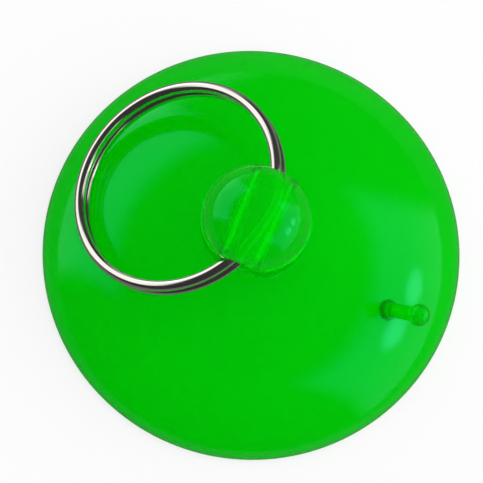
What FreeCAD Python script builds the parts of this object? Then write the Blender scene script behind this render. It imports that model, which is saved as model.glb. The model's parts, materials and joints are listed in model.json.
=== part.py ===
"""Suction cup with a split ring: a soft one-piece moulding (skirt, knob, lift tab) and a steel ring.

Millimetres and degrees. +Z up, origin at the centre of the sealing plane. The knob's cross hole
lies along Y, the ring is folded down over -X, and the lift tab stands near the lip towards +X.
The moulding is parted only where it flexes, so each of its nodes meets the next face to face.
"""

import FreeCAD, Part
import math
import os

import Sketcher
from FreeCAD import Placement, Rotation, Vector

SIZES = (
    # skirt
    ("cup_diameter", 55.0, "outside of the lip"),
    ("dome_height", 11.2, "top of the dome, where the knob's foot starts"),
    ("crown_drop", 3.92, "from the top of the dome down to its shoulder"),
    ("shoulder_inset", 8.1, "from the outside of the lip in to the shoulder"),
    ("lip_edge", 0.8, "height of the lip's outer edge"),
    ("lip_land", 0.6, "width of the flat sealing land under the lip"),
    ("lip_round", 0.3, "rounding of the lip's top edge"),
    ("crown_wall", 2.0, "wall under the knob"),
    ("shoulder_wall", 1.9, "wall at the shoulder, measured upright"),
    # knob
    ("foot_diameter", 14.4, "where the neck flares into the dome"),
    ("neck_diameter", 9.8, "narrowest part of the neck"),
    ("head_diameter", 13.8, "widest part of the head"),
    ("head_rise", 6.9, "top of the head above the axis of the cross hole"),
    ("head_shoulder", 5.5, "rounding round the top of the head"),
    ("head_crown", 8.0, "radius of the head's crowned top"),
    ("head_under", 4.6, "rounding round the underside of the head"),
    ("hole_rise", 7.3, "axis of the cross hole above the top of the dome"),
    ("hole_clearance", 0.1, "least room round the ring in the cross hole, as the ring lies"),
    ("hole_round", 0.5, "rounding of the cross hole's mouths"),
    ("flat_depth", 0.7, "how far each flat cuts into the side of the head"),
    # split ring
    ("ring_diameter", 28.5, "outside of the ring"),
    ("wire_diameter", 1.45, "spring wire"),
    ("coil_gap", 0.03, "between the two turns"),
    ("ring_rest_gap", 0.2, "between the folded ring and the dome"),
    ("ring_slew", 6.5, "how far the folded ring has turned in its own plane, about the hole"),
    ("step_angle", 12.0, "half the angle in which the wire steps from one turn to the other"),
    ("end_angle", 15.0, "from the middle of that step to each end of the wire"),
    # lift tab
    ("stem_diameter", 1.9, "stem of the lift tab"),
    ("bead_diameter", 2.8, "bead on the end of the stem"),
    ("tab_reach", 6.8, "from the dome to the middle of the bead"),
    ("tab_lean", 33.0, "lean of the tab out from upright"),
    ("tab_bearing", -4.5, "direction of the tab round from +X"),
    ("foot_rise", 0.5, "height of the tab's flared foot above the dome"),
    ("foot_flare", 0.6, "how much the foot's root is wider than the stem, each side"),
    ("foot_root", 0.8, "depth of the foot's root in the wall"),
)

# Lengths that follow from the sheet.
CUP_R = "sizes.cup_diameter / 2"
SHOULDER_R = f"({CUP_R} - sizes.shoulder_inset)"
SHOULDER_Z = "(sizes.dome_height - sizes.crown_drop)"
FOOT_R = "sizes.foot_diameter / 2"
NECK_R = "sizes.neck_diameter / 2"
HEAD_R = "sizes.head_diameter / 2"
NECK_TOP = f"(sizes.dome_height + {FOOT_R} - {NECK_R})"
HOLE_Z = "(sizes.dome_height + sizes.hole_rise)"
HEAD_TOP = f"({HOLE_Z} + sizes.head_rise)"
FLAT_Y = f"({HEAD_R} - sizes.flat_depth)"
WIRE_R = "sizes.wire_diameter / 2"
COIL_R = "((sizes.ring_diameter - sizes.wire_diameter) / 2)"
PITCH = "(sizes.wire_diameter + sizes.coil_gap)"
# The ring's slew sets its middle off to one side of the hole by this much.
SLEW_SHIFT = f"({COIL_R} * sin(sizes.ring_slew))"
# The wire bows by this much across the hole's length, half to each side of the hole's axis.
BOW = f"({COIL_R} - sqrt({COIL_R}^2 - ({FLAT_Y} + {SLEW_SHIFT})^2))"
RING_REACH = f"(({COIL_R} - {BOW} / 2) / cos(sizes.ring_slew))"
HOLE_R = f"(sqrt(({BOW} / 2)^2 + ({PITCH} / 2)^2) + {WIRE_R} + sizes.hole_clearance)"

LOWERING = 1.0  # degrees a step, when the ring is laid on the dome
BISECTIONS = 24  # of the last of those steps
MAX_TILT = 90.0
FAR_SIDE = range(140, 221, 4)  # degrees round the ring, where it can meet the dome
SAME_PLACE = 0.01  # for finding an edge by where it is

doc = FreeCAD.newDocument("suction_cup")
sheet = doc.addObject("Spreadsheet::Sheet", "sizes")
for row, (alias, number, meaning) in enumerate(SIZES, start=1):
    sheet.set(f"A{row}", meaning)
    sheet.set(f"B{row}", str(number))
    sheet.setAlias(f"B{row}", alias)
doc.recompute()


def value(expression):
    """The number that an expression over the sheet gives."""
    return float(sheet.evalExpression(expression))


def fail(message):
    raise RuntimeError(message)


# ---------------------------------------------------------------- sketches


def sketch_on(body, role, name):
    """A sketch on one of the body's own origin planes."""
    sketch = body.newObject("Sketcher::SketchObject", name)
    plane = next(f for f in body.Origin.OriginFeatures if f.Role == role)
    sketch.AttachmentSupport = (plane, [""])
    sketch.MapMode = "FlatFace"
    return sketch


def bind(sketch, kind, *where, to):
    """Adds a dimension that follows the sheet."""
    index = sketch.addConstraint(Sketcher.Constraint(kind, *where, value(to)))
    sketch.setExpression(f"Constraints[{index}]", to)


def bind_point(sketch, point, across=None, up=None):
    """Places a vertex of the sketch by its distances from the origin."""
    if across:
        bind(sketch, "DistanceX", -1, 1, *point, to=across)
    if up:
        bind(sketch, "DistanceY", -1, 1, *point, to=up)


def outline(sketch, corners, smooth=()):
    """A closed outline. Each corner is (point, middle of the arc to the next, or None for a line).

    Gives each edge's start as (geometry, vertex). Edges listed in smooth run on tangent into the
    next edge.
    """
    starts, ends = [], []
    for i, (start, middle) in enumerate(corners):
        end = corners[(i + 1) % len(corners)][0]
        a, c = Vector(*start, 0), Vector(*end, 0)
        if middle is None:
            geometry = sketch.addGeometry(Part.LineSegment(a, c))
            forwards = True
        else:
            b = Vector(*middle, 0)
            forwards = (b - a).cross(c - b).z > 0
            points = (a, b, c) if forwards else (c, b, a)
            geometry = sketch.addGeometry(Part.Arc(*points))
        starts.append((geometry, 1 if forwards else 2))
        ends.append((geometry, 2 if forwards else 1))
    for i, end in enumerate(ends):
        kind = "Tangent" if i in smooth else "Coincident"
        sketch.addConstraint(Sketcher.Constraint(kind, *end, *starts[(i + 1) % len(starts)]))
    return starts


def centre_on_axis(sketch, start):
    sketch.addConstraint(Sketcher.Constraint("PointOnObject", start[0], 3, -2))


def upright(sketch, start):
    sketch.addConstraint(Sketcher.Constraint("Vertical", start[0]))


def level(sketch, start):
    sketch.addConstraint(Sketcher.Constraint("Horizontal", start[0]))


def crown_middle(start, end):
    """Middle of the arc from start to end whose centre is on the axis, and its slope at end."""
    (r0, z0), (r1, z1) = start, end
    centre = (r0**2 + z0**2 - r1**2 - z1**2) / (2 * (z0 - z1))
    radius = math.hypot(r0, z0 - centre)
    middle_r = (r0 + r1) / 2
    middle = (middle_r, centre + math.sqrt(radius**2 - middle_r**2))
    return middle, -r1 / (z1 - centre)


def tangent_middle(start, slope, end):
    """Middle of the arc from start to end that leaves start at the slope."""
    chord = Vector(end[0] - start[0], end[1] - start[1], 0)
    turn = math.atan(slope) - math.atan2(chord.y, chord.x)
    rise = math.tan(turn / 2) / 2
    return start[0] + chord.x / 2 - chord.y * rise, start[1] + chord.y / 2 + chord.x * rise


def revolve(body, sketch, name):
    feature = body.newObject("PartDesign::Revolution", name)
    feature.Profile = sketch
    feature.ReferenceAxis = (sketch, ["V_Axis"])
    feature.Angle = 360.0
    return feature


def cut_across(body, sketch, name):
    """A pocket right through the body, both ways from its sketch."""
    before = body.Shape.Volume
    pocket = body.newObject("PartDesign::Pocket", name)
    pocket.Profile = sketch
    pocket.Type = "ThroughAll"
    pocket.Midplane = True
    doc.recompute()
    if not pocket.Shape.Volume < before:
        fail(f"{name} cuts nothing")
    return pocket


# ---------------------------------------------------------------- skirt


def make_skirt():
    """The dome and its lip, with the lift tab's flared foot standing on the shoulder."""
    body = doc.addObject("PartDesign::Body", "skirt_shell")
    sketch = sketch_on(body, "XZ_Plane", "skirt_profile")
    seat = (value(FOOT_R), value("sizes.dome_height"))
    shoulder = (value(SHOULDER_R), value(SHOULDER_Z))
    lip = (value(CUP_R), value("sizes.lip_edge"))
    land = (lip[0] - value("sizes.lip_land"), 0.0)
    inner_shoulder = (shoulder[0], shoulder[1] - value("sizes.shoulder_wall"))
    apex = (0.0, seat[1] - value("sizes.crown_wall"))
    crown, slope = crown_middle(seat, shoulder)
    inner_crown, inner_slope = crown_middle(apex, inner_shoulder)
    top, seat_edge, shoulder_start, lip_start, under, hollow, hollow_crown, core = outline(
        sketch,
        (
            ((0.0, seat[1]), None),
            (seat, crown),
            (shoulder, tangent_middle(shoulder, slope, lip)),
            (lip, None),
            ((lip[0], 0.0), None),
            (land, tangent_middle(inner_shoulder, inner_slope, land)),
            (inner_shoulder, inner_crown),
            (apex, None),
        ),
        smooth=(1, 5),
    )
    level(sketch, top)
    upright(sketch, lip_start)
    level(sketch, under)
    upright(sketch, core)
    centre_on_axis(sketch, seat_edge)
    centre_on_axis(sketch, hollow_crown)
    sketch.addConstraint(Sketcher.Constraint("PointOnObject", *top, -2))
    sketch.addConstraint(Sketcher.Constraint("PointOnObject", *under, -1))
    bind_point(sketch, seat_edge, FOOT_R, "sizes.dome_height")
    bind_point(sketch, shoulder_start, SHOULDER_R, SHOULDER_Z)
    bind_point(sketch, lip_start, CUP_R, "sizes.lip_edge")
    bind_point(sketch, hollow, f"{CUP_R} - sizes.lip_land")
    bind_point(sketch, hollow_crown, SHOULDER_R, f"{SHOULDER_Z} - sizes.shoulder_wall")
    bind_point(sketch, core, None, "sizes.dome_height - sizes.crown_wall")
    shell = revolve(body, sketch, "skirt_revolved")
    doc.recompute()

    edge = next(
        f"Edge{n}"
        for n, e in enumerate(shell.Shape.Edges, start=1)
        if abs(e.BoundBox.ZMin - lip[1]) < SAME_PLACE and abs(e.BoundBox.ZMax - lip[1]) < SAME_PLACE
    )
    rounding = body.newObject("PartDesign::Fillet", "lip_rounding")
    rounding.Base = (shell, [edge])
    rounding.setExpression("Radius", "sizes.lip_round")

    foot = doc.addObject("Part::Cone", "tab_foot")
    foot.setExpression("Radius1", "sizes.stem_diameter / 2 + sizes.foot_flare")
    foot.setExpression("Radius2", "sizes.stem_diameter / 2")
    foot.setExpression("Height", "sizes.foot_root + sizes.foot_rise")
    foot.Placement = along_tab(-value("sizes.foot_root"))

    skirt = doc.addObject("Part::Fuse", "skirt")
    skirt.Base = body
    skirt.Tool = foot
    skirt.Refine = True
    skirt.Label = "cup_skirt"
    doc.recompute()
    return skirt


def along_tab(distance):
    """A place on the lift tab's axis, that far out from the dome, with Z along the axis."""
    bearing = Rotation(Vector(0, 0, 1), value("sizes.tab_bearing"))
    turn = bearing * Rotation(Vector(0, 1, 0), value("sizes.tab_lean"))
    root = bearing * Vector(value(SHOULDER_R), 0, value(SHOULDER_Z))
    return Placement(root + turn * Vector(0, 0, distance), turn)


# ---------------------------------------------------------------- knob


def make_knob():
    """Flared neck and barrel-shaped head, with flats where the cross hole comes out."""
    body = doc.addObject("PartDesign::Body", "knob_body")
    body.Label = "knob"
    sketch = sketch_on(body, "XZ_Plane", "knob_profile")
    foot = (value(FOOT_R), value("sizes.dome_height"))
    neck = (value(NECK_R), value(NECK_TOP))
    head_r = value(HEAD_R)
    under, shoulder, crown = (value(f"sizes.{n}") for n in ("head_under", "head_shoulder", "head_crown"))
    top = value(HEAD_TOP)
    flare = foot[0] - neck[0]
    flare_middle = tuple(c - flare * math.sqrt(0.5) for c in (foot[0], neck[1]))
    # The head's widest stretch runs from low to high; both roundings start from its ends.
    inset = neck[0] - (head_r - under)
    low = neck[1] + math.sqrt(under**2 - inset**2)
    half_turn = (math.asin(inset / under) + math.pi / 2) / 2
    under_middle = (head_r - under + under * math.sin(half_turn), low - under * math.cos(half_turn))
    crown_centre = top - crown
    reach = head_r - shoulder
    high = crown_centre + math.sqrt((crown - shoulder) ** 2 - reach**2)
    lean = math.asin(reach / (crown - shoulder))
    crown_edge = (crown * math.sin(lean), crown_centre + crown * math.cos(lean))
    half_lean = (lean + math.pi / 2) / 2
    shoulder_middle = (reach + shoulder * math.sin(half_lean), high + shoulder * math.cos(half_lean))
    top_middle = (crown * math.sin(lean / 2), crown_centre + crown * math.cos(lean / 2))
    base, flare_start, neck_start, side, shoulder_start, crown_start, core = outline(
        sketch,
        (
            ((0.0, foot[1]), None),
            (foot, flare_middle),
            (neck, under_middle),
            ((head_r, low), None),
            ((head_r, high), shoulder_middle),
            (crown_edge, top_middle),
            ((0.0, top), None),
        ),
        smooth=(2, 3, 4),
    )
    level(sketch, base)
    upright(sketch, side)
    upright(sketch, core)
    centre_on_axis(sketch, crown_start)
    sketch.addConstraint(Sketcher.Constraint("PointOnObject", *base, -2))
    # A quarter turn: its centre is straight above the foot's edge and level with the neck.
    flare_centre = (flare_start[0], 3)
    sketch.addConstraint(Sketcher.Constraint("Vertical", *flare_centre, *flare_start))
    sketch.addConstraint(Sketcher.Constraint("Horizontal", *flare_centre, *neck_start))
    bind_point(sketch, flare_start, FOOT_R, "sizes.dome_height")
    bind_point(sketch, neck_start, NECK_R)
    bind_point(sketch, side, HEAD_R)
    bind_point(sketch, core, None, HEAD_TOP)
    bind(sketch, "Radius", neck_start[0], to="sizes.head_under")
    bind(sketch, "Radius", shoulder_start[0], to="sizes.head_shoulder")
    bind(sketch, "Radius", crown_start[0], to="sizes.head_crown")
    revolve(body, sketch, "knob_revolved")
    doc.recompute()

    flats = sketch_on(body, "YZ_Plane", "flats_outline")
    for side_of in (1, -1):
        near, far = side_of * value(FLAT_Y), side_of * 2 * head_r
        low_z, high_z = foot[1] + flare, 2 * top
        corners = ((near, low_z), (far, low_z), (far, high_z), (near, high_z))
        lower, outer, upper, inner = outline(flats, [(c, None) for c in corners])
        for edge in (lower, upper):
            level(flats, edge)
        for edge in (outer, inner):
            upright(flats, edge)
        sign = "" if side_of > 0 else "-"
        bind_point(flats, lower, f"{sign}{FLAT_Y}", NECK_TOP)
        bind_point(flats, upper, f"{sign}sizes.head_diameter", f"2 * {HEAD_TOP}")
    doc.recompute()
    cut_across(body, flats, "flats")

    mouth = sketch_on(body, "XZ_Plane", "hole_outline")
    ring_hole = mouth.addGeometry(
        Part.Circle(Vector(0, value(HOLE_Z), 0), Vector(0, 0, 1), value(HOLE_R))
    )
    mouth.addConstraint(Sketcher.Constraint("PointOnObject", ring_hole, 3, -2))
    bind_point(mouth, (ring_hole, 3), None, HOLE_Z)
    bind(mouth, "Radius", ring_hole, to=HOLE_R)
    doc.recompute()
    hole = cut_across(body, mouth, "cross_hole")

    rims = [
        f"Edge{n}"
        for n, e in enumerate(hole.Shape.Edges, start=1)
        if e.BoundBox.YLength < SAME_PLACE
        and abs(abs(e.BoundBox.Center.y) - value(FLAT_Y)) < SAME_PLACE
        and abs(e.BoundBox.XLength - 2 * value(HOLE_R)) < SAME_PLACE
    ]
    if len(rims) != 2:
        fail("the cross hole has no two flat mouths")
    rounding = body.newObject("PartDesign::Fillet", "hole_rounding")
    rounding.Base = (hole, rims)
    rounding.setExpression("Radius", "sizes.hole_round")
    doc.recompute()
    return body


# ---------------------------------------------------------------- lift tab


def make_tab():
    """A stem with a bead on its end, made upright and then leaned over the shoulder."""
    body = doc.addObject("PartDesign::Body", "tab_body")
    body.Label = "lift_tab"
    sketch = sketch_on(body, "XZ_Plane", "tab_profile")
    stem_r, bead_r = value("sizes.stem_diameter / 2"), value("sizes.bead_diameter / 2")
    foot, reach = value("sizes.foot_rise"), value("sizes.tab_reach")
    meets = reach - math.sqrt(bead_r**2 - stem_r**2)
    base, stem, bead, core = outline(
        sketch,
        (
            ((0.0, foot), None),
            ((stem_r, foot), None),
            ((stem_r, meets), (bead_r, reach)),
            ((0.0, reach + bead_r), None),
        ),
    )
    level(sketch, base)
    upright(sketch, stem)
    upright(sketch, core)
    centre_on_axis(sketch, bead)
    sketch.addConstraint(Sketcher.Constraint("PointOnObject", *base, -2))
    bind_point(sketch, stem, "sizes.stem_diameter / 2", "sizes.foot_rise")
    bind_point(sketch, (bead[0], 3), None, "sizes.tab_reach")
    bind(sketch, "Radius", bead[0], to="sizes.bead_diameter / 2")
    revolve(body, sketch, "tab_revolved")
    body.Placement = along_tab(0.0)
    doc.recompute()
    return body


# ---------------------------------------------------------------- split ring


def ring_placement(tilt):
    """The ring's own frame: Z its axis, X towards the hole; tilted down from level over -X."""
    turn = Rotation(Vector(0, 1, 0), -tilt) * Rotation(Vector(0, 0, 1), -value("sizes.ring_slew"))
    hinge = Vector(0, 0, value(HOLE_Z))
    return Placement(hinge - turn * Vector(value(RING_REACH), 0, 0), turn)


def rest_tilt(skirt):
    """The tilt at which the folded ring's far side lies its rest gap above the dome."""
    dome = Part.Compound(skirt.Shape.slice(Vector(0, 1, 0), 0.0))
    radius, height = value(COIL_R), -value(PITCH) / 2
    turns = [math.radians(angle) for angle in FAR_SIDE]
    wire = [Vector(radius * math.cos(t), radius * math.sin(t), height) for t in turns]
    wanted = value(f"{WIRE_R} + sizes.ring_rest_gap")

    def clear(tilt):
        """True while every point is far enough from the dome, turned round into its section."""
        placement = ring_placement(tilt)
        for point in map(placement.multVec, wire):
            section = Vector(-math.hypot(point.x, point.y), 0, point.z)
            if dome.distToShape(Part.Vertex(section))[0] <= wanted:
                return False
        return True

    high, low = 0.0, LOWERING
    if not clear(high):
        fail("the ring can't lie level over this dome")
    while clear(low):
        high, low = low, low + LOWERING
        if low > MAX_TILT:
            fail("the folded ring never comes down on the dome")
    for _ in range(BISECTIONS):
        tilt = (high + low) / 2
        if clear(tilt):
            high = tilt
        else:
            low = tilt
    return high


def ring_path():
    """Two stacked turns of wire, with one step between them where they pass through the knob."""
    radius, half_pitch = value(COIL_R), value(PITCH) / 2
    step, end = value("sizes.step_angle"), value("sizes.end_angle")

    def point(angle, height):
        turn = math.radians(angle)
        return Vector(radius * math.cos(turn), radius * math.sin(turn), height)

    def ahead(angle):
        turn = math.radians(angle)
        return Vector(-math.sin(turn), math.cos(turn), 0)

    upper = Part.Arc(point(end, half_pitch), point(180, half_pitch), point(-step, half_pitch))
    lower = Part.Arc(point(step, -half_pitch), point(180, -half_pitch), point(-end, -half_pitch))
    between = Part.BSplineCurve()
    between.interpolate(
        Points=[point(-step, half_pitch), point(0, 0), point(step, -half_pitch)],
        InitialTangent=ahead(-step),
        FinalTangent=ahead(step),
    )
    return Part.Wire([upper.toShape(), between.toShape(), lower.toShape()])


def make_ring(skirt):
    tilt = rest_tilt(skirt)
    print(f"the folded ring lies {tilt:.3f} degrees down, {value(RING_REACH):.4f} from the hole's axis")
    print(f"the cross hole's radius is {value(HOLE_R):.4f}")
    placement = ring_placement(tilt)
    spine = doc.addObject("Part::Feature", "ring_spine")
    spine.Shape = ring_path()
    spine.Placement = placement
    start = math.radians(value("sizes.end_angle"))
    wire = doc.addObject("Part::Circle", "wire_section")
    wire.setExpression("Radius", WIRE_R)
    across = Placement(
        Vector(value(COIL_R) * math.cos(start), value(COIL_R) * math.sin(start), value(PITCH) / 2),
        Rotation(Vector(0, 0, 1), Vector(-math.sin(start), math.cos(start), 0)),
    )
    wire.Placement = placement * across
    ring = doc.addObject("Part::Sweep", "ring")
    ring.Sections = [wire]
    ring.Spine = (spine, ["Edge1", "Edge2", "Edge3"])
    ring.Solid = True
    ring.Frenet = False
    ring.Label = "split_ring"
    doc.recompute()
    return ring


# ---------------------------------------------------------------- build and export


def check_document():
    for item in doc.Objects:
        for state in item.State:
            if state in ("Invalid", "Error"):
                fail(f"{item.Name} is {state}")
    for item in doc.findObjects("Sketcher::SketchObject"):
        if not item.FullyConstrained:
            fail(f"{item.Name} is not fully constrained")


def check_shape(item):
    shape = item.Shape
    if shape.isNull() or not shape.isValid() or len(shape.Solids) != 1:
        fail(f"{item.Label} is not one valid solid")


skirt = make_skirt()
sub_parts = (skirt, make_knob(), make_tab(), make_ring(skirt))
doc.recompute()
check_document()
os.makedirs("parts", exist_ok=True)
for item in sub_parts:
    check_shape(item)
    item.Shape.exportStep(f"parts/{item.Label}.step")
    box = item.Shape.BoundBox
    print(
        f"{item.Label}: volume {item.Shape.Volume:.1f} mm3,"
        f" x {box.XMin:.2f} to {box.XMax:.2f}, y {box.YMin:.2f} to {box.YMax:.2f},"
        f" z {box.ZMin:.2f} to {box.ZMax:.2f}"
    )
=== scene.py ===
"""Looks of a suction cup: one soft moulding, its lift tab, and a two-turn steel split ring."""

import json
import math

import bmesh
import bpy
from bpy.props import FloatProperty, FloatVectorProperty, IntProperty, PointerProperty
from mathutils import Matrix, Vector


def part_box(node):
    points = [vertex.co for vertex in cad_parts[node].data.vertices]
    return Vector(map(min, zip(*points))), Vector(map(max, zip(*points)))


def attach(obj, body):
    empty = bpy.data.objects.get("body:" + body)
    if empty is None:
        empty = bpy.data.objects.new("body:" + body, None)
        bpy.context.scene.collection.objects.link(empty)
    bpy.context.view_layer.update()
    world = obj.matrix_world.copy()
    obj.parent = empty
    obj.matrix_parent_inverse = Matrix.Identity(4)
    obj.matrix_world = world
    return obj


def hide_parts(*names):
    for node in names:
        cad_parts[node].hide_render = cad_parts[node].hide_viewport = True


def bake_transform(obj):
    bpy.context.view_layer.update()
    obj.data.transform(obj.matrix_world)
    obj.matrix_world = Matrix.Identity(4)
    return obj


bl_info = {
    "name": "Suction Cup",
    "version": (1, 0, 0),
    "blender": (4, 5, 0),
    "location": "3D Viewport > Sidebar > Suction Cup",
    "description": "Builds a soft suction cup with a knob, a lift tab and a split ring",
    "category": "Add Mesh",
}

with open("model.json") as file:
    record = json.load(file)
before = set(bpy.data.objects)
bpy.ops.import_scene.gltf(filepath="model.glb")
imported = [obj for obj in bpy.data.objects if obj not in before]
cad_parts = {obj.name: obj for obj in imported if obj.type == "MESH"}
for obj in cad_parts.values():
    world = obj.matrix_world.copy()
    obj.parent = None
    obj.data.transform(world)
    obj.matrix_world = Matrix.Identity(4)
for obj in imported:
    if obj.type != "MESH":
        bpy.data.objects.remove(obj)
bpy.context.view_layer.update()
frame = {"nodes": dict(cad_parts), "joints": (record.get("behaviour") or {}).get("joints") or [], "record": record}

MM = 0.001
LOW = {name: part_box(name)[0] for name in frame["nodes"]}
TOP = {name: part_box(name)[1] for name in frame["nodes"]}
JOINTS = {joint["name"]: joint for joint in frame["joints"]}
MOUNTS = {mount["name"]: mount for mount in frame["record"]["mounts"]}
HOLE_HEIGHT = JOINTS["ring_swing"]["pos_m"][2]

# Moulding
OPENING_MARGIN = 0.9 * MM  # left in the head's mesh round the rounding of the hole
MOUTH_LOOPS = 7  # across that margin
ROUND_LOOPS = 6  # across the rounding
TUBE_LOOPS = 18  # along the hole

# Lift tab
TAB_SEGMENTS = 40
TAB_SINK = 0.02 * MM  # its foot lies this far under the line that it follows
UNDER_EDGE = 0.8  # share of the height of the lip's edge, just under that edge
WAIST = 0.5  # the stem ends this share of the bead's overhang short of the bead
BEAD_START = 0.93  # share of the angle, below the bead's middle, at which bead and stem meet

# Materials
SKIN_DEPTH = 0.02 * MM  # of the bumps and marks
LIP_AND_SHEEN_FADE = (1.1 * MM, 0.4 * MM)  # in from the lip's edge, where the lip's paler colour begins and is full; it is paler for the thin plastic there and as a painted reflection of the edge

# Camera, angles in degrees
CAMERA_DISTANCE = 260 * MM
CAMERA_BEARING = 16.1  # round from -Y
CAMERA_HEIGHT = 78.0
CAMERA_ROLL = 7.0
SENSOR_WIDTH = 36.0
VIEW_WIDTH = 63.8 * MM  # across the camera's view, at the middle of the lip's circle
VIEW_MIDDLE = (-1.32 * MM, 1.33 * MM)  # of the view, rightward and upward from that middle

# Floor
FLOOR_HALF = 1.5
FLOOR_DROP = 0.02 * MM
FLOOR_GLOW = 0.7  # share of plain white in what the camera sees
FLOOR_GLOW_THROUGH = 0.13  # the same share, seen through the plastic
FLOOR_MIRRORED = 0.15  # brightness in reflections

# Lamps: bearing round from +X, height, width, tall side, radiance
LAMP_DISTANCE = 0.5
LAMPS = {
    "left_softbox": (172.0, 25.0, 0.60, 0.34, 0.6),
    "right_softbox": (18.0, 21.0, 0.64, 0.38, 0.5),
}

# World
FILL_SIDE = (0.72, 0.52, 0.46)  # where most of the fill comes from
FILL_LEAST = 0.1
FILL_MOST = 1.6
FILL_FROM = -0.6  # cosine from that side at which the fill is least
REFLECTED_DARK = 0.03
WINDOW_SOFTNESS = 0.07
# Windows in reflections: bearing round from +X, half width, top edge, radiance
WINDOWS = ((168.0, 31.0, 40.0, 1.15), (10.0, 35.0, 43.0, 0.95))
# Glows in reflections: bearing, height, outer angle, inner angle, radiance
GLOWS = (
    (139.0, -14.0, 38.0, 14.0, 0.7),
    (19.7, 21.5, 8.0, 1.5, 3.0),
    (2.5, 25.5, 9.0, 1.5, 3.2),
)


# ------------------------------------------------------------------ settings


def length(label, text, millimetres):
    return FloatProperty(name=label, description=text, default=millimetres * MM, unit="LENGTH")


def count(label, text, number, least):
    return IntProperty(name=label, description=text, default=number, min=least)


def colour(label, text, value):
    return FloatVectorProperty(
        name=label, description=text, subtype="COLOR", size=3, min=0.0, max=1.0, default=value
    )


class MouldingSettings(bpy.types.PropertyGroup):
    """Sizes of the skirt, the knob and the lift tab that the frame's boxes don't give."""

    crown_drop: length("Crown drop", "From the top of the dome down to its shoulder", 3.92)
    shoulder_inset: length("Shoulder inset", "From the outside of the lip in to the shoulder", 8.1)
    lip_edge: length("Lip edge", "Height of the lip's outer edge", 0.8)
    lip_land: length("Lip land", "Width of the flat sealing land", 0.6)
    lip_round: length("Lip rounding", "Rounding of the lip's top edge", 0.3)
    land_round: length("Land rounding", "Rounding of the land's two edges", 0.12)
    crown_wall: length("Crown wall", "Wall under the knob", 2.0)
    shoulder_wall: length("Shoulder wall", "Wall at the shoulder, measured upright", 1.9)
    foot_radius: length("Foot radius", "Where the neck flares into the dome", 7.2)
    neck_radius: length("Neck radius", "Narrowest part of the neck", 4.9)
    head_radius: length("Head radius", "Widest part of the head", 6.9)
    head_under: length("Head underside", "Rounding round the underside of the head", 4.6)
    head_shoulder: length("Head shoulder", "Rounding round the top of the head", 5.5)
    head_crown: length("Head crown", "Radius of the head's crowned top", 8.0)
    flat_depth: length("Flat depth", "How far each flat cuts into the side of the head", 0.7)
    flat_round: length("Flat rounding", "Softness of each flat's outline", 0.3)
    hole_radius: length("Hole radius", "Cross hole that the ring passes through", 2.23)
    hole_round: length("Hole rounding", "Rounding of the cross hole's mouths", 0.5)
    stem_radius: length("Stem radius", "Stem of the lift tab", 0.95)
    bead_radius: length("Bead radius", "Bead on the end of the stem", 1.4)
    tab_reach: length("Tab reach", "From the dome to the middle of the bead", 6.8)
    tab_root: length("Tab root", "Radius of the fillet round the tab's foot", 0.4)
    segments: count("Segments", "Round the moulding, a multiple of four", 160, 32)


class RingSettings(bpy.types.PropertyGroup):
    """The split ring's wire."""

    wire_radius: length("Wire radius", "Spring wire", 0.725)
    coil_gap: length("Coil gap", "Between the two turns", 0.03)
    end_bevel: length("End bevel", "Bevel round each cut end of the wire", 0.12)
    step_angle: FloatProperty(
        name="Step angle",
        description="Half the angle in which the wire steps from one turn to the other",
        default=math.radians(12.0),
        unit="ROTATION",
    )
    end_angle: FloatProperty(
        name="End angle",
        description="From the middle of that step to each end of the wire",
        default=math.radians(15.0),
        unit="ROTATION",
    )
    around: count("Around the wire", "Vertices round the wire", 32, 8)
    steps_per_turn: count("Steps per turn", "Cross sections in one turn", 240, 48)


class FinishSettings(bpy.types.PropertyGroup):
    """Colours of the materials and the stage."""

    pvc: colour("Soft plastic", "Body colour of the soft plastic", (0.004, 0.97, 0.003))
    pvc_deep: colour("Soft plastic, deep", "Body colour where the melt flowed slower", (0.003, 0.91, 0.003))
    # the lip's colour is paler for the thin plastic there and as a painted reflection of the lip's edge
    pvc_lip_and_sheen: colour("Soft plastic, lip", "Body colour where the lip is thin", (0.07, 0.86, 0.09))
    nickel: colour("Nickel", "Nickel plating", (0.82, 0.79, 0.73))
    floor: colour("Floor", "Floor and backdrop", (0.92, 0.92, 0.92))


# ------------------------------------------------------------------ outline of the moulding


def arc_points(centre, radius, start, end, steps):
    """Points on an arc, angles in radians from +r towards +z, without the first one."""
    angles = (start + (end - start) * k / steps for k in range(1, steps + 1))
    return [(centre[0] + radius * math.cos(a), centre[1] + radius * math.sin(a)) for a in angles]


def crown_arc(start, end, steps):
    """Arc from start to end with its centre on the axis, and its direction at end."""
    middle = (start[0] ** 2 + start[1] ** 2 - end[0] ** 2 - end[1] ** 2) / (2 * (start[1] - end[1]))
    radius = math.hypot(start[0], start[1] - middle)
    first, last = (math.atan2(p[1] - middle, p[0]) for p in (start, end))
    return arc_points((0.0, middle), radius, first, last, steps), last - math.pi / 2


def tangent_arc(start, heading, end, steps):
    """Arc from start to end, both ways round, that has that heading at start."""
    run, rise = end[0] - start[0], end[1] - start[1]
    turn = heading - math.atan2(rise, run)
    radius = math.hypot(run, rise) / (2 * math.sin(turn))
    centre = (start[0] + radius * math.sin(heading), start[1] - radius * math.cos(heading))
    first = math.atan2(start[1] - centre[1], start[0] - centre[0])
    return arc_points(centre, radius, first, first - 2 * turn, steps)


def shoulder_point(sizes):
    """(radius, height) of the dome's outside where the crown's arc turns into the skirt's."""
    skirt = TOP["cup_skirt"]
    return skirt.x - sizes.shoulder_inset, skirt.z - sizes.crown_drop


def dome_outline(sizes):
    """(radius, height) points of the dome's outside, from the neck's foot out to the lip."""
    foot, shoulder = (sizes.foot_radius, TOP["cup_skirt"].z), shoulder_point(sizes)
    crown, heading = crown_arc(foot, shoulder, 24)
    skirt = tangent_arc(shoulder, heading, (TOP["cup_skirt"].x, sizes.lip_edge), 20)
    return [foot, *crown, *skirt]


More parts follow.
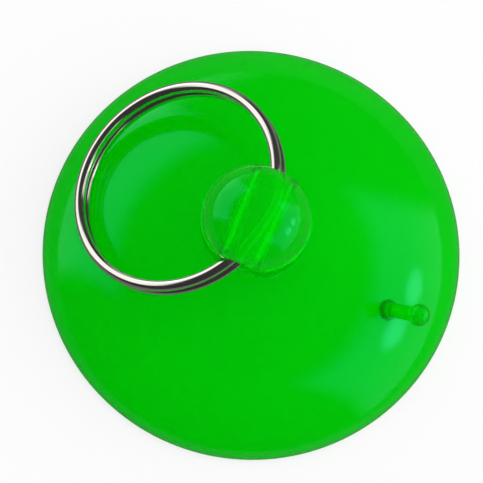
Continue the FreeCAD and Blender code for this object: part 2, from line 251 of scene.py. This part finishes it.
def moulding_outline(sizes):
    """(radius, height) points from the hollow's apex, round the lip, to the top of the head."""
    lip_radius, dome = TOP["cup_skirt"].x, TOP["cup_skirt"].z
    shoulder = shoulder_point(sizes)
    inner_shoulder = (shoulder[0], shoulder[1] - sizes.shoulder_wall)
    apex = (0.0, dome - sizes.crown_wall)
    land = (lip_radius - sizes.lip_land, 0.0)
    inner_crown, inner_heading = crown_arc(apex, inner_shoulder, 22)
    points = [apex, *inner_crown]
    points += tangent_arc(inner_shoulder, inner_heading, land, 18)[:-1]
    small = sizes.land_round
    # the land's inner edge, softened in two points
    points += [(land[0] + small * 0.25, small * 0.15), (land[0] + small, 0.0)]
    edge = lip_radius - small
    points.append((edge, 0.0))
    points += arc_points((edge, small), small, -math.pi / 2, 0.0, 4)
    brim = sizes.lip_round
    points.append((lip_radius, sizes.lip_edge - brim))
    # the lip's top edge, softened in one point, and the dome from where that point leads onto it
    points.append((lip_radius - brim * 0.18, sizes.lip_edge - brim * 0.35))
    points += [p for p in reversed(dome_outline(sizes)) if p[0] < lip_radius - brim * 0.6]
    return points + knob_outline(sizes)


def knob_outline(sizes):
    """The rest of the outline, from just past the foot to the top of the head."""
    foot, neck, widest = sizes.foot_radius, sizes.neck_radius, sizes.head_radius
    flare = foot - neck
    base, top = TOP["cup_skirt"].z, TOP["knob"].z
    points = arc_points((foot, base + flare), flare, -math.pi / 2, -math.pi, 12)
    inset = neck - (widest - sizes.head_under)
    low = base + flare + math.sqrt(sizes.head_under**2 - inset**2)
    first = -math.acos(inset / sizes.head_under)
    points += arc_points((widest - sizes.head_under, low), sizes.head_under, first, 0.0, 18)
    inset = widest - sizes.head_shoulder
    gap = sizes.head_crown - sizes.head_shoulder
    centre = top - sizes.head_crown
    high = centre + math.sqrt(gap**2 - inset**2)
    lean = math.asin(inset / gap)
    points += [(widest, low + (high - low) * k / 4) for k in range(1, 5)]
    turn = math.pi / 2 - lean
    points += arc_points((inset, high), sizes.head_shoulder, 0.0, turn, 20)
    points += arc_points((0.0, centre), sizes.head_crown, turn, math.pi / 2, 8)
    return points


def smooth_least(a, b, blend):
    """The smaller of two lengths, eased over into each other."""
    near = max(blend - abs(a - b), 0.0) / blend
    return min(a, b) - near * near * blend / 4


class HeadSide:
    """The side of the head that a mouth of the cross hole opens in: its y at any x and height."""

    def __init__(self, sizes, outline):
        neck = TOP["cup_skirt"].z + sizes.foot_radius - sizes.neck_radius
        self.outline = [p for p in outline if p[1] > neck]
        self.flat = sizes.head_radius - sizes.flat_depth
        self.blend = sizes.flat_round

    def radius(self, height):
        for (r0, z0), (r1, z1) in zip(self.outline, self.outline[1:]):
            if z0 <= height <= z1:
                return r0 + (r1 - r0) * (height - z0) / (z1 - z0)
        return 0.0

    def eased(self, y):
        return smooth_least(y, self.flat, self.blend)

    def y(self, x, height):
        return self.eased(math.sqrt(max(self.radius(height) ** 2 - x * x, 0.0)))


# ------------------------------------------------------------------ mesh helpers


def new_object(name, bm, material):
    """Makes a smooth-shaded object of the bmesh and frees it."""
    bmesh.ops.recalc_face_normals(bm, faces=bm.faces)
    mesh = bpy.data.meshes.new(name)
    bm.to_mesh(mesh)
    bm.free()
    mesh.polygons.foreach_set("use_smooth", [True] * len(mesh.polygons))
    mesh.materials.append(material)
    thing = bpy.data.objects.new(name, mesh)
    bpy.context.scene.collection.objects.link(thing)
    return thing


def bridge(bm, first, second):
    """Quads between two closed loops of as many vertices."""
    for k in range(len(first)):
        n = (k + 1) % len(first)
        bm.faces.new((first[k], first[n], second[n], second[k]))


def spin(bm, outline, segments, skip=frozenset()):
    """Revolves an outline that starts and ends on the axis. Gives its rings; skip leaves faces out."""
    rings = []
    for r, z in outline[1:-1]:
        turns = (2 * math.pi * j / segments for j in range(segments))
        rings.append([bm.verts.new((r * math.cos(t), r * math.sin(t), z)) for t in turns])
    for i, (low, high) in enumerate(zip(rings, rings[1:])):
        for j in range(segments):
            if (i, j) not in skip:
                n = (j + 1) % segments
                bm.faces.new((low[j], low[n], high[n], high[j]))
    for (r, z), ring in ((outline[0], rings[0]), (outline[-1], rings[-1])):
        pole = bm.verts.new((0.0, 0.0, z))
        for j in range(segments):
            bm.faces.new((pole, ring[j], ring[(j + 1) % segments]))
    return rings


# ------------------------------------------------------------------ moulding


def opening_span(outline, sizes):
    """The rings and the half width in segments of the opening that is left round each mouth."""
    reach = sizes.hole_radius + sizes.hole_round + OPENING_MARGIN
    neck = TOP["cup_skirt"].z + sizes.foot_radius - sizes.neck_radius
    inside = [
        i for i, (r, z) in enumerate(outline[1:-1]) if z > neck and abs(z - HOLE_HEIGHT) <= reach
    ]
    half = round(math.asin(reach / sizes.head_radius) / (2 * math.pi) * sizes.segments)
    return inside[0], inside[-1], half


def edge_places(low, high, left, right):
    """(ring, segment) of each vertex round an opening, in order."""
    edge = [(low, j) for j in range(left, right)]
    edge += [(i, right) for i in range(low, high)]
    edge += [(high, j) for j in range(right, left, -1)]
    return edge + [(i, left) for i in range(high, low, -1)]


def mouth_loops(sizes, side, starts):
    """Loops of points from the opening's edge at +Y in to the hole and over its rounding."""
    mouth = sizes.hole_radius + sizes.hole_round
    angles = [math.atan2(z - HOLE_HEIGHT, x) for x, z in starts]
    spokes = [(math.cos(a), math.sin(a)) for a in angles]
    loops = []
    for k in range(1, MOUTH_LOOPS):
        share = k / MOUTH_LOOPS
        loop = []
        for (x0, z0), (c, s) in zip(starts, spokes):
            x = x0 + (mouth * c - x0) * share
            z = z0 + (HOLE_HEIGHT + mouth * s - z0) * share
            loop.append((x, side.y(x, z), z))
        loops.append(loop)
    for k in range(ROUND_LOOPS + 1):
        turn = math.pi / 2 * k / ROUND_LOOPS
        radius = mouth - sizes.hole_round * math.sin(turn)
        depth = sizes.hole_round * (1 - math.cos(turn))
        loop = []
        for c, s in spokes:
            y = side.y(mouth * c, HOLE_HEIGHT + mouth * s) - depth
            loop.append((radius * c, y, HOLE_HEIGHT + radius * s))
        loops.append(loop)
    return loops


def moulding_bmesh(sizes):
    """Skirt and knob as one skin, with the cross hole through the head."""
    outline = moulding_outline(sizes)
    side = HeadSide(sizes, outline)
    low, high, half = opening_span(outline, sizes)
    quarter = sizes.segments // 4
    left, right = quarter - half, quarter + half
    front = {(i, j) for i in range(low, high) for j in range(left, right)}
    back = {(i, sizes.segments - 1 - j) for i, j in front}
    bm = bmesh.new()
    rings = spin(bm, outline, sizes.segments, front | back)
    for (_, z), ring in zip(outline[1:-1], rings):
        if z > side.outline[0][1]:
            for vertex in ring:
                vertex.co.y = math.copysign(side.eased(abs(vertex.co.y)), vertex.co.y)
    edge = edge_places(low, high, left, right)
    front_edge = [rings[i][j] for i, j in edge]
    back_edge = [rings[i][sizes.segments - j] for i, j in edge]
    mouth = mouth_loops(sizes, side, [(v.co.x, v.co.z) for v in front_edge])
    tube = []
    for k in range(1, TUBE_LOOPS):
        share = 1 - 2 * k / TUBE_LOOPS
        tube.append([(x, y * share, z) for x, y, z in mouth[-1]])
    far_mouth = [[(x, -y, z) for x, y, z in loop] for loop in reversed(mouth)]
    last = front_edge
    for loop in (*mouth, *tube, *far_mouth):
        made = [bm.verts.new(point) for point in loop]
        bridge(bm, last, made)
        last = made
    bridge(bm, last, back_edge)
    return bm


# ------------------------------------------------------------------ lift tab


def tab_frame(sizes):
    """The lift tab's own frame: Z along the stem from the dome's shoulder, Y its hinge's axis."""
    joint = JOINTS["tab_bend"]
    hinge, axis = Vector(joint["pos_m"]), Vector(joint["axis"]).normalized()
    radius, height = shoulder_point(sizes)
    root = axis.cross(Vector((0, 0, 1))) * radius + Vector((0, 0, height))
    stem = (hinge - root).normalized()
    turn = Matrix((axis.cross(stem), axis, stem)).transposed().to_4x4()
    return Matrix.Translation(root) @ turn


def foot_line(sizes):
    """(radius, height) points of the moulding that the lift tab's foot follows, by radius.

    They are those above the straight line from the neck's foot to just under the lip's edge. Near
    the shoulder that takes in points of the hollow's roof, so the foot dips into the wall there.
    """
    lip_radius, dome = TOP["cup_skirt"].x, TOP["cup_skirt"].z
    slope = (dome - sizes.lip_edge) / (lip_radius - sizes.foot_radius)
    points = []
    for radius, height in moulding_outline(sizes):
        least = sizes.lip_edge * UNDER_EDGE + slope * (lip_radius - radius)
        if radius >= sizes.foot_radius and least <= height <= dome:
            points.append((radius, height))
    return sorted(points)


def height_on(line, radius):
    """Height of the line at that radius."""
    for (r0, z0), (r1, z1) in zip(line, line[1:]):
        if r0 <= radius <= r1:
            return z0 + (z1 - z0) * (radius - r0) / (r1 - r0)
    raise RuntimeError("that radius is off the line")


def tab_bmesh(sizes):
    """Stem with a flared foot on the dome, and a bead on its end."""
    stem, bead, reach, root = sizes.stem_radius, sizes.bead_radius, sizes.tab_reach, sizes.tab_root
    meets = reach - math.sqrt(bead**2 - stem**2)
    straight = meets - WAIST * (bead - stem) - root
    outline = [(0.0, 0.0), (stem + root, 0.0)]
    outline += arc_points((stem + root, root), root, -math.pi / 2, -math.pi, 8)
    outline += [(stem, root + straight * k / 10) for k in range(1, 11)]
    first = math.atan2(meets - reach, stem)
    outline += arc_points((0.0, reach), bead, first * BEAD_START, math.pi / 2, 20)
    bm = bmesh.new()
    rings = spin(bm, outline, TAB_SEGMENTS)
    bm.transform(tab_frame(sizes))
    line = foot_line(sizes)
    for vertex in rings[0]:
        vertex.co.z = height_on(line, math.hypot(vertex.co.x, vertex.co.y)) - TAB_SINK
    return bm


# ------------------------------------------------------------------ split ring


def ring_frame():
    """The folded ring's own frame: Z its axis, X from its middle towards the knob."""
    eye = MOUNTS["ring_eye"]
    middle, axis = Vector(eye["pos_m"]), Vector(eye["axis"]).normalized()
    hinge = Vector(JOINTS["ring_swing"]["pos_m"])
    ahead = (hinge - middle).normalized()
    turn = Matrix((ahead, axis.cross(ahead), axis)).transposed().to_4x4()
    return Matrix.Translation(middle) @ turn


def wire_line(sizes):
    """(angle, height) along the wire: the upper turn, the step, the lower turn."""
    half = sizes.wire_radius + sizes.coil_gap / 2
    step, end, turn = sizes.step_angle, sizes.end_angle, 2 * math.pi
    stride = turn / sizes.steps_per_turn
    upper = round((turn - end - step) / stride)
    line = [(end + (turn - end - step) * k / upper, half) for k in range(upper + 1)]
    shift = round(2 * step / stride)
    for k in range(1, shift):
        share = k / shift
        eased = share * share * (3 - 2 * share)
        line.append((turn - step + 2 * step * share, half * (1 - 2 * eased)))
    line += [(turn + step + (turn - end - step) * k / upper, -half) for k in range(upper + 1)]
    return line


def wire_sections(bm, sizes):
    """(run, vertices) of each cross section of the wire, run being its length so far."""
    coil = (TOP["split_ring"].y - LOW["split_ring"].y) / 2 - sizes.wire_radius
    line = [Vector((coil * math.cos(a), coil * math.sin(a), h)) for a, h in wire_line(sizes)]
    bevelled = 1 - sizes.end_bevel / sizes.wire_radius
    sections, run = [], 0.0
    for k, point in enumerate(line):
        before, after = line[max(k - 1, 0)], line[min(k + 1, len(line) - 1)]
        run += (point - before).length
        ahead = (after - before).normalized()
        up = ahead.cross(Vector((point.x, point.y, 0)).normalized()).normalized()
        out = up.cross(ahead)
        steps = [(0.0, 1.0)]
        if k == 0:
            steps.insert(0, (-sizes.end_bevel, bevelled))
        if k == len(line) - 1:
            steps.append((sizes.end_bevel, bevelled))
        for shift, share in steps:
            ring = []
            for j in range(sizes.around):
                turn = 2 * math.pi * j / sizes.around
                spoke = out * math.cos(turn) + up * math.sin(turn)
                ring.append(bm.verts.new(point + ahead * shift + spoke * sizes.wire_radius * share))
            sections.append((run, ring))
    return sections


def ring_bmesh(sizes):
    """A round tube along the wire, with bevelled ends and a map that runs along it."""
    bm = bmesh.new()
    layer = bm.loops.layers.uv.new("along_wire")
    sections = wire_sections(bm, sizes)
    for (run0, first), (run1, second) in zip(sections, sections[1:]):
        for j in range(sizes.around):
            n = (j + 1) % sizes.around
            face = bm.faces.new((first[j], first[n], second[n], second[j]))
            corners = ((run0, j), (run0, j + 1), (run1, j + 1), (run1, j))
            for loop, (run, place) in zip(face.loops, corners):
                loop[layer].uv = (run / MM, place / sizes.around)
    for _, end in (sections[0], sections[-1]):
        bm.faces.new(end)
    bm.transform(ring_frame())
    return bm


# ------------------------------------------------------------------ materials


class NodeBuilder:
    """Adds nodes to a material or world and links them."""

    def __init__(self, owner):
        owner.use_nodes = True
        self.tree = owner.node_tree
        self.tree.nodes.clear()

    def add(self, kind, inputs=None, **settings):
        node = self.tree.nodes.new(kind)
        for key, value in settings.items():
            setattr(node, key, value)
        for key, value in (inputs or {}).items():
            self.set(node, key, value)
        return node

    def set(self, node, key, value):
        if isinstance(value, bpy.types.NodeSocket):
            self.tree.links.new(value, node.inputs[key])
        else:
            node.inputs[key].default_value = value


def pvc_material(finish):
    """Glossy translucent soft plastic: faint flow lines, a paler lip (thinner there, and with a painted reflection
    of its edge), a barely uneven skin.
    """
    material = bpy.data.materials.new("soft_pvc")
    nodes = NodeBuilder(material)
    place = nodes.add("ShaderNodeTexCoord").outputs["Object"]
    flow = nodes.add(
        "ShaderNodeTexNoise", {"Vector": place, "Scale": 90.0, "Detail": 3.0, "Roughness": 0.5}
    )
    tint = nodes.add("ShaderNodeMix", {"Factor": flow.outputs["Fac"]}, data_type="RGBA")
    tint.inputs["A"].default_value = (*finish.pvc, 1)
    tint.inputs["B"].default_value = (*finish.pvc_deep, 1)
    level = nodes.add("ShaderNodeVectorMath", {0: place, 1: (1, 1, 0)}, operation="MULTIPLY")
    radius = nodes.add("ShaderNodeVectorMath", {0: level.outputs["Vector"]}, operation="LENGTH")
    # painted edge reflection: the paler lip colour stands in partly for the thin plastic and partly for the
    # reflection along the lip's edge
    begins, full = (TOP["cup_skirt"].x - inset for inset in LIP_AND_SHEEN_FADE)
    thin = eased(nodes, radius.outputs["Value"], begins, full)
    body = nodes.add(
        "ShaderNodeMix", {"Factor": thin, "A": tint.outputs["Result"]}, data_type="RGBA"
    )
    body.inputs["B"].default_value = (*finish.pvc_lip_and_sheen, 1)
    grain = nodes.add(
        "ShaderNodeTexNoise", {"Vector": place, "Scale": 420.0, "Detail": 2.0, "Roughness": 0.6}
    )
    gloss = nodes.add(
        "ShaderNodeMapRange",
        {"Value": grain.outputs["Fac"], "To Min": 0.06, "To Max": 0.11},
    )
    skin = nodes.add(
        "ShaderNodeBump",
        {"Height": grain.outputs["Fac"], "Strength": 0.05, "Distance": SKIN_DEPTH},
    )
    shader = nodes.add(
        "ShaderNodeBsdfPrincipled",
        {
            "Base Color": body.outputs["Result"],
            "Roughness": gloss.outputs["Result"],
            "Normal": skin.outputs["Normal"],
            "IOR": 1.50,
            "Transmission Weight": 0.8,
            "Specular Tint": (0.05, 1.0, 0.75, 1.0),
        },
    )
    depth = nodes.add(
        "ShaderNodeVolumeAbsorption", {"Color": (0.0, 0.996, 0.2, 1.0), "Density": 1800.0}
    )
    nodes.add(
        "ShaderNodeOutputMaterial",
        {"Surface": shader.outputs["BSDF"], "Volume": depth.outputs["Volume"]},
    )
    return material


def nickel_material(finish):
    """Bright nickel over drawn wire: fine marks along the wire, a little haze."""
    material = bpy.data.materials.new("nickel_wire")
    nodes = NodeBuilder(material)
    along = nodes.add("ShaderNodeTexCoord").outputs["UV"]
    stretch = nodes.add("ShaderNodeMapping", {"Vector": along, "Scale": (0.15, 26.0, 1.0)})
    marks = nodes.add(
        "ShaderNodeTexNoise",
        {"Vector": stretch.outputs["Vector"], "Scale": 1.0, "Detail": 4.0, "Roughness": 0.6},
    )
    gloss = nodes.add(
        "ShaderNodeMapRange",
        {"Value": marks.outputs["Fac"], "To Min": 0.06, "To Max": 0.20},
    )
    drawn = nodes.add(
        "ShaderNodeBump",
        {"Height": marks.outputs["Fac"], "Strength": 0.15, "Distance": SKIN_DEPTH},
    )
    shader = nodes.add(
        "ShaderNodeBsdfPrincipled",
        {
            "Base Color": (*finish.nickel, 1),
            "Metallic": 1.0,
            "Roughness": gloss.outputs["Result"],
            "Normal": drawn.outputs["Normal"],
        },
    )
    nodes.add("ShaderNodeOutputMaterial", {"Surface": shader.outputs["BSDF"]})
    return material


# ------------------------------------------------------------------ stage


def ray_mask(nodes, *kinds):
    """1 for rays of those kinds."""
    path = nodes.add("ShaderNodeLightPath")
    total = path.outputs[kinds[0]]
    for kind in kinds[1:]:
        both = nodes.add("ShaderNodeMath", {0: total, 1: path.outputs[kind]}, operation="MAXIMUM")
        total = both.outputs["Value"]
    return total


def floor_material(finish):
    """A plain matt floor that takes shadows, with a share of white, and dim in reflections."""
    material = bpy.data.materials.new("studio_floor")
    nodes = NodeBuilder(material)
    seen, through = ray_mask(nodes, "Is Camera Ray"), ray_mask(nodes, "Is Transmission Ray")
    # rays through the plastic count as glossy too, so they are taken out
    glossy = {0: ray_mask(nodes, "Is Glossy Ray"), 1: through}
    mirrored = nodes.add("ShaderNodeMath", glossy, operation="SUBTRACT", use_clamp=True)
    mirrored = mirrored.outputs["Value"]
    white_share = 0.0
    for mask, share in ((seen, FLOOR_GLOW), (through, FLOOR_GLOW_THROUGH), (mirrored, 1.0)):
        inputs = {0: mask, 1: share, 2: white_share}
        added = nodes.add("ShaderNodeMath", inputs, operation="MULTIPLY_ADD")
        white_share = added.outputs["Value"]
    dim = nodes.add(
        "ShaderNodeMapRange", {"Value": mirrored, "To Min": 1.0, "To Max": FLOOR_MIRRORED}
    )
    plain = nodes.add("ShaderNodeBsdfDiffuse", {"Color": (*finish.floor, 1)})
    white = nodes.add(
        "ShaderNodeEmission", {"Color": (1, 1, 1, 1), "Strength": dim.outputs["Result"]}
    )
    mixed = nodes.add(
        "ShaderNodeMixShader",
        {0: white_share, 1: plain.outputs["BSDF"], 2: white.outputs["Emission"]},
    )
    nodes.add("ShaderNodeOutputMaterial", {"Surface": mixed.outputs["Shader"]})
    return material


def eased(nodes, value, low, high):
    """0 below low and 1 above high, or the other way round, eased between them."""
    limits = {"Value": value, "From Min": low, "From Max": high}
    return nodes.add("ShaderNodeMapRange", limits, interpolation_type="SMOOTHSTEP").outputs["Result"]


def times(nodes, first, second):
    """The product of two values."""
    inputs = {0: first, 1: second}
    return nodes.add("ShaderNodeMath", inputs, operation="MULTIPLY").outputs["Value"]


def along(nodes, way, direction):
    """How far a ray's way points along a direction, as a cosine."""
    inputs = {0: way, 1: tuple(direction)}
    return nodes.add("ShaderNodeVectorMath", inputs, operation="DOT_PRODUCT").outputs["Value"]


def window(nodes, way, bearing, half_width, top, radiance):
    """The reflection of a soft-edged window that reaches down to the horizon. Angles in degrees."""
    b = math.radians(bearing)
    front = along(nodes, way, (math.cos(b), math.sin(b), 0))
    side = along(nodes, way, (-math.sin(b), math.cos(b), 0))
    off = nodes.add("ShaderNodeMath", {0: side}, operation="ABSOLUTE").outputs["Value"]
    edge, rim = (math.sin(math.radians(v)) for v in (half_width, top))
    across = eased(nodes, off, edge + WINDOW_SOFTNESS, edge - WINDOW_SOFTNESS)
    upward = along(nodes, way, (0, 0, 1))
    height = eased(nodes, upward, rim + WINDOW_SOFTNESS, rim - WINDOW_SOFTNESS)
    shape = times(nodes, times(nodes, across, height), eased(nodes, front, 0.0, 0.2))
    return times(nodes, shape, radiance)


def glow(nodes, way, bearing, height, outer, inner, radiance):
    """A round glow in reflections, from its outer to its inner angle in degrees."""
    b, h, outer, inner = (math.radians(v) for v in (bearing, height, outer, inner))
    middle = (math.cos(h) * math.cos(b), math.cos(h) * math.sin(b), math.sin(h))
    shape = eased(nodes, along(nodes, way, middle), math.cos(outer), math.cos(inner))
    return times(nodes, shape, radiance)


def build_world():
    """White where it is seen, an uneven fill, and dark in reflections but for windows and glows."""
    world = bpy.data.worlds.new("studio")
    bpy.context.scene.world = world
    nodes = NodeBuilder(world)
    way = nodes.add("ShaderNodeTexCoord").outputs["Generated"]
    mirrored = REFLECTED_DARK
    shapes = [window(nodes, way, *numbers) for numbers in WINDOWS]
    shapes += [glow(nodes, way, *numbers) for numbers in GLOWS]
    for shape in shapes:
        both = nodes.add("ShaderNodeMath", {0: mirrored, 1: shape}, operation="ADD")
        mirrored = both.outputs["Value"]
    limits = {
        "Value": along(nodes, way, FILL_SIDE),
        "From Min": FILL_FROM,
        "From Max": 1.0,
        "To Min": FILL_LEAST,
        "To Max": FILL_MOST,
    }
    strength = nodes.add("ShaderNodeMapRange", limits).outputs["Result"]
    for mask, seen in (
        (ray_mask(nodes, "Is Glossy Ray"), mirrored),
        (ray_mask(nodes, "Is Camera Ray", "Is Transmission Ray"), 1.0),
    ):
        inputs = {"Factor": mask, "A": strength, "B": seen}
        either = nodes.add("ShaderNodeMix", inputs, data_type="FLOAT")
        strength = either.outputs["Result"]
    light = nodes.add("ShaderNodeBackground", {"Color": (1, 1, 1, 1), "Strength": strength})
    nodes.add("ShaderNodeOutputWorld", {"Surface": light.outputs["Background"]})


def softbox(name, bearing, height, width, tall, radiance):
    """A rectangular lamp that faces the cup and isn't seen in reflections."""
    lamp = bpy.data.lights.new(name, "AREA")
    lamp.shape = "RECTANGLE"
    lamp.size, lamp.size_y = width, tall
    lamp.energy = radiance * math.pi * width * tall
    thing = bpy.data.objects.new(name, lamp)
    b, h = math.radians(bearing), math.radians(height)
    away = Vector((math.cos(h) * math.cos(b), math.cos(h) * math.sin(b), math.sin(h)))
    thing.location = away * LAMP_DISTANCE
    thing.rotation_euler = away.to_track_quat("Z", "Y").to_euler()
    thing.visible_glossy = False
    bpy.context.scene.collection.objects.link(thing)


def build_camera():
    """A camera that looks down on the cup, turned a little about its own line of sight."""
    a, e, roll = (math.radians(v) for v in (CAMERA_BEARING, CAMERA_HEIGHT, CAMERA_ROLL))
    back = Vector((math.sin(a) * math.cos(e), -math.cos(a) * math.cos(e), math.sin(e)))
    level = Vector((math.cos(a), math.sin(a), 0.0))
    upright = back.cross(level)
    right = level * math.cos(roll) + upright * math.sin(roll)
    up = upright * math.cos(roll) - level * math.sin(roll)
    aim = right * VIEW_MIDDLE[0] + up * VIEW_MIDDLE[1]
    camera = bpy.data.cameras.new("camera")
    camera.sensor_width = SENSOR_WIDTH
    camera.lens = SENSOR_WIDTH * CAMERA_DISTANCE / VIEW_WIDTH
    thing = bpy.data.objects.new("camera", camera)
    turn = Matrix((right, up, back)).transposed().to_4x4()
    thing.matrix_world = Matrix.Translation(aim + back * CAMERA_DISTANCE) @ turn
    bpy.context.scene.collection.objects.link(thing)
    bpy.context.scene.camera = thing


# ------------------------------------------------------------------ operators


def settings():
    """The sidebar's settings."""
    return bpy.context.scene.suction_cup


def material(name, make):
    """The material of that name, made if it isn't there yet."""
    return bpy.data.materials.get(name) or make(settings().finish)


class CUP_OT_moulding(bpy.types.Operator):
    """Build the skirt and the knob as one soft moulding"""

    bl_idname = "suction_cup.moulding"
    bl_label = "Moulding"

    def execute(self, context):
        bm = moulding_bmesh(settings().moulding)
        thing = new_object("soft_moulding", bm, material("soft_pvc", pvc_material))
        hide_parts("cup_skirt", "knob")
        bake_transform(thing)
        return {"FINISHED"}


class CUP_OT_lift_tab(bpy.types.Operator):
    """Build the lift tab that breaks the seal"""

    bl_idname = "suction_cup.lift_tab"
    bl_label = "Lift Tab"

    def execute(self, context):
        sizes = settings().moulding
        thing = new_object("lift_tab_soft", tab_bmesh(sizes), material("soft_pvc", pvc_material))
        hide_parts("lift_tab")
        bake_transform(thing)
        return {"FINISHED"}


class CUP_OT_split_ring(bpy.types.Operator):
    """Build the two-turn split ring"""

    bl_idname = "suction_cup.split_ring"
    bl_label = "Split Ring"

    def execute(self, context):
        bm = ring_bmesh(settings().ring)
        thing = new_object("split_ring_wire", bm, material("nickel_wire", nickel_material))
        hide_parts("split_ring")
        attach(thing, "ring")
        return {"FINISHED"}


class CUP_OT_stage(bpy.types.Operator):
    """Set up the floor, the lamps and the camera"""

    bl_idname = "suction_cup.stage"
    bl_label = "Stage"

    def execute(self, context):
        bm = bmesh.new()
        bmesh.ops.create_grid(bm, x_segments=1, y_segments=1, size=FLOOR_HALF)
        floor = new_object("floor", bm, floor_material(settings().finish))
        floor.location.z = -FLOOR_DROP
        build_world()
        for name, numbers in LAMPS.items():
            softbox(name, *numbers)
        build_camera()
        context.scene.view_settings.view_transform = "Standard"
        return {"FINISHED"}


class CUP_PT_panel(bpy.types.Panel):
    """Buttons for each piece and the stage"""

    bl_idname = "CUP_PT_panel"
    bl_label = "Suction Cup"
    bl_space_type = "VIEW_3D"
    bl_region_type = "UI"
    bl_category = "Suction Cup"

    def draw(self, context):
        for operator in OPERATORS:
            self.layout.operator(operator.bl_idname)


class SuctionCupSettings(bpy.types.PropertyGroup):
    """All the settings."""

    moulding: PointerProperty(type=MouldingSettings)
    ring: PointerProperty(type=RingSettings)
    finish: PointerProperty(type=FinishSettings)


GROUPS = (MouldingSettings, RingSettings, FinishSettings, SuctionCupSettings)
OPERATORS = (CUP_OT_moulding, CUP_OT_lift_tab, CUP_OT_split_ring, CUP_OT_stage)


def register():
    for group in (*GROUPS, *OPERATORS, CUP_PT_panel):
        bpy.utils.register_class(group)
    bpy.types.Scene.suction_cup = PointerProperty(type=SuctionCupSettings)


def unregister():
    del bpy.types.Scene.suction_cup
    for group in reversed((*GROUPS, *OPERATORS, CUP_PT_panel)):
        bpy.utils.unregister_class(group)


def main():
    register()
    bpy.ops.suction_cup.moulding()
    bpy.ops.suction_cup.lift_tab()
    bpy.ops.suction_cup.split_ring()
    bpy.ops.suction_cup.stage()
    bpy.context.view_layer.update()


if __name__ == "__main__":
    main()
